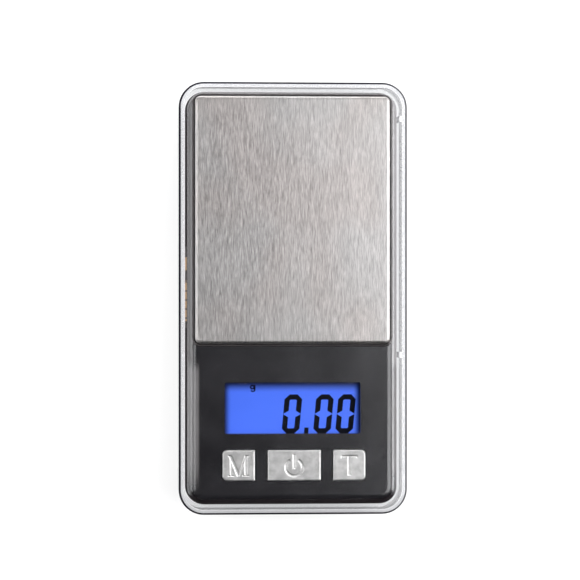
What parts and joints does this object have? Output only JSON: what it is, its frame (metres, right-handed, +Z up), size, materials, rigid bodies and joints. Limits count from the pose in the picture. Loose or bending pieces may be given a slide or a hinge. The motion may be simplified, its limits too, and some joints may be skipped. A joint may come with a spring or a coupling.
{
  "type": "digital gram scale",
  "caption": "Pocket digital gram scale with a brushed steel platform, blue backlit display, silver keys and a clear lift-off dust cover.",
  "frame": {"origin": "centre of the footprint on the surface that the scale stands on", "axes": "+Z up, +Y along the length from the keys towards the weighing platform, +X to the right seen from above with the display nearest the reader"},
  "size_m": [0.062, 0.1168, 0.02],
  "materials": {
    "clear_plastic": "clear moulded polystyrene, polished",
    "black_casing": "black ABS, satin",
    "brushed_steel": "stainless sheet, brushed along Y",
    "grey_plastic": "dark grey ABS",
    "foam_tape": "white foam tape",
    "aluminium_bar": "milled bar",
    "gauge_foil": "amber polyimide foil",
    "screw_steel": "zinc-plated steel",
    "circuit_board": "green solder mask",
    "light_guide": "blue-lit acrylic",
    "display_glass": "blue-lit liquid-crystal glass",
    "zebra_rubber": "striped conductive silicone",
    "white_plastic": "white ABS",
    "black_resin": "black epoxy",
    "feet_rubber": "soft black rubber",
    "rating_paper": "silver-grey label stock",
    "gold_label": "dark label with gold bars",
    "contact_steel": "nickel-plated spring steel",
    "satin_key": "satin silver plated ABS",
    "switch_plunger": "black nylon",
    "battery_skin": "printed film on steel can",
    "red_insulation": "PVC",
    "black_insulation": "PVC",
    "grey_insulation": "PVC"
  },
  "bodies": {
    "casing": {"display_window": "clear_plastic", "upper_casing": "black_casing", "base_shell": "black_casing", "key_switches": "grey_plastic", "load_cell_beam": "aluminium_bar", "strain_gauges": "gauge_foil", "overload_stop_screw": "screw_steel", "case_screws": "screw_steel", "board_screws": "screw_steel", "cell_base_screws": "screw_steel", "main_board": "circuit_board", "backlight": "light_guide", "backlight_led": "light_guide", "lcd_panel": "display_glass", "zebra_strip": "zebra_rubber", "lcd_frame": "white_plastic", "controller_chip": "black_resin", "board_components": "black_resin", "rubber_feet": "feet_rubber", "rating_label": "rating_paper", "side_label": "gold_label", "contact_springs": "contact_steel", "link_contact": "contact_steel", "negative_contact": "contact_steel", "positive_contact": "contact_steel", "battery_near": "battery_skin", "battery_far": "battery_skin", "battery_lead_red": "red_insulation", "battery_lead_black": "black_insulation", "cell_leads": "grey_insulation"},
    "cover": {"dust_cover": "clear_plastic"},
    "door": {"battery_door": "black_casing"},
    "platform": {"platform_plate": "brushed_steel", "plate_tape": "foam_tape", "platform_carrier": "grey_plastic", "cell_tray_screws": "screw_steel"},
    "mode_button": {"mode_key": "satin_key", "mode_plunger": "switch_plunger"},
    "power_button": {"power_key": "satin_key", "power_plunger": "switch_plunger"},
    "tare_button": {"tare_key": "satin_key", "tare_plunger": "switch_plunger"}
  },
  "joints": [
    {"name": "cover_lift", "type": "slide", "parent": "casing", "child": "cover", "axis": [0, 0, 1], "range_m": [0, 0.03]},
    {"name": "door_slide", "type": "slide", "parent": "casing", "child": "door", "axis": [0, 1, 0], "range_m": [0, 0.027]},
    {"name": "platform_press", "type": "slide", "parent": "casing", "child": "platform", "axis": [0, 0, -1], "range_m": [0, 0.00025], "stiffness_N_per_m": 16000, "springref_m": -0.00005, "deforming": ["load_cell_beam"]},
    {"name": "mode_press", "type": "slide", "parent": "casing", "child": "mode_button", "axis": [0, 0, -1], "range_m": [0, 0.0003], "stiffness_N_per_m": 1200, "springref_m": -0.0002},
    {"name": "power_press", "type": "slide", "parent": "casing", "child": "power_button", "axis": [0, 0, -1], "range_m": [0, 0.0003], "stiffness_N_per_m": 1200, "springref_m": -0.0002},
    {"name": "tare_press", "type": "slide", "parent": "casing", "child": "tare_button", "axis": [0, 0, -1], "range_m": [0, 0.0003], "stiffness_N_per_m": 1200, "springref_m": -0.0002}
  ]
}
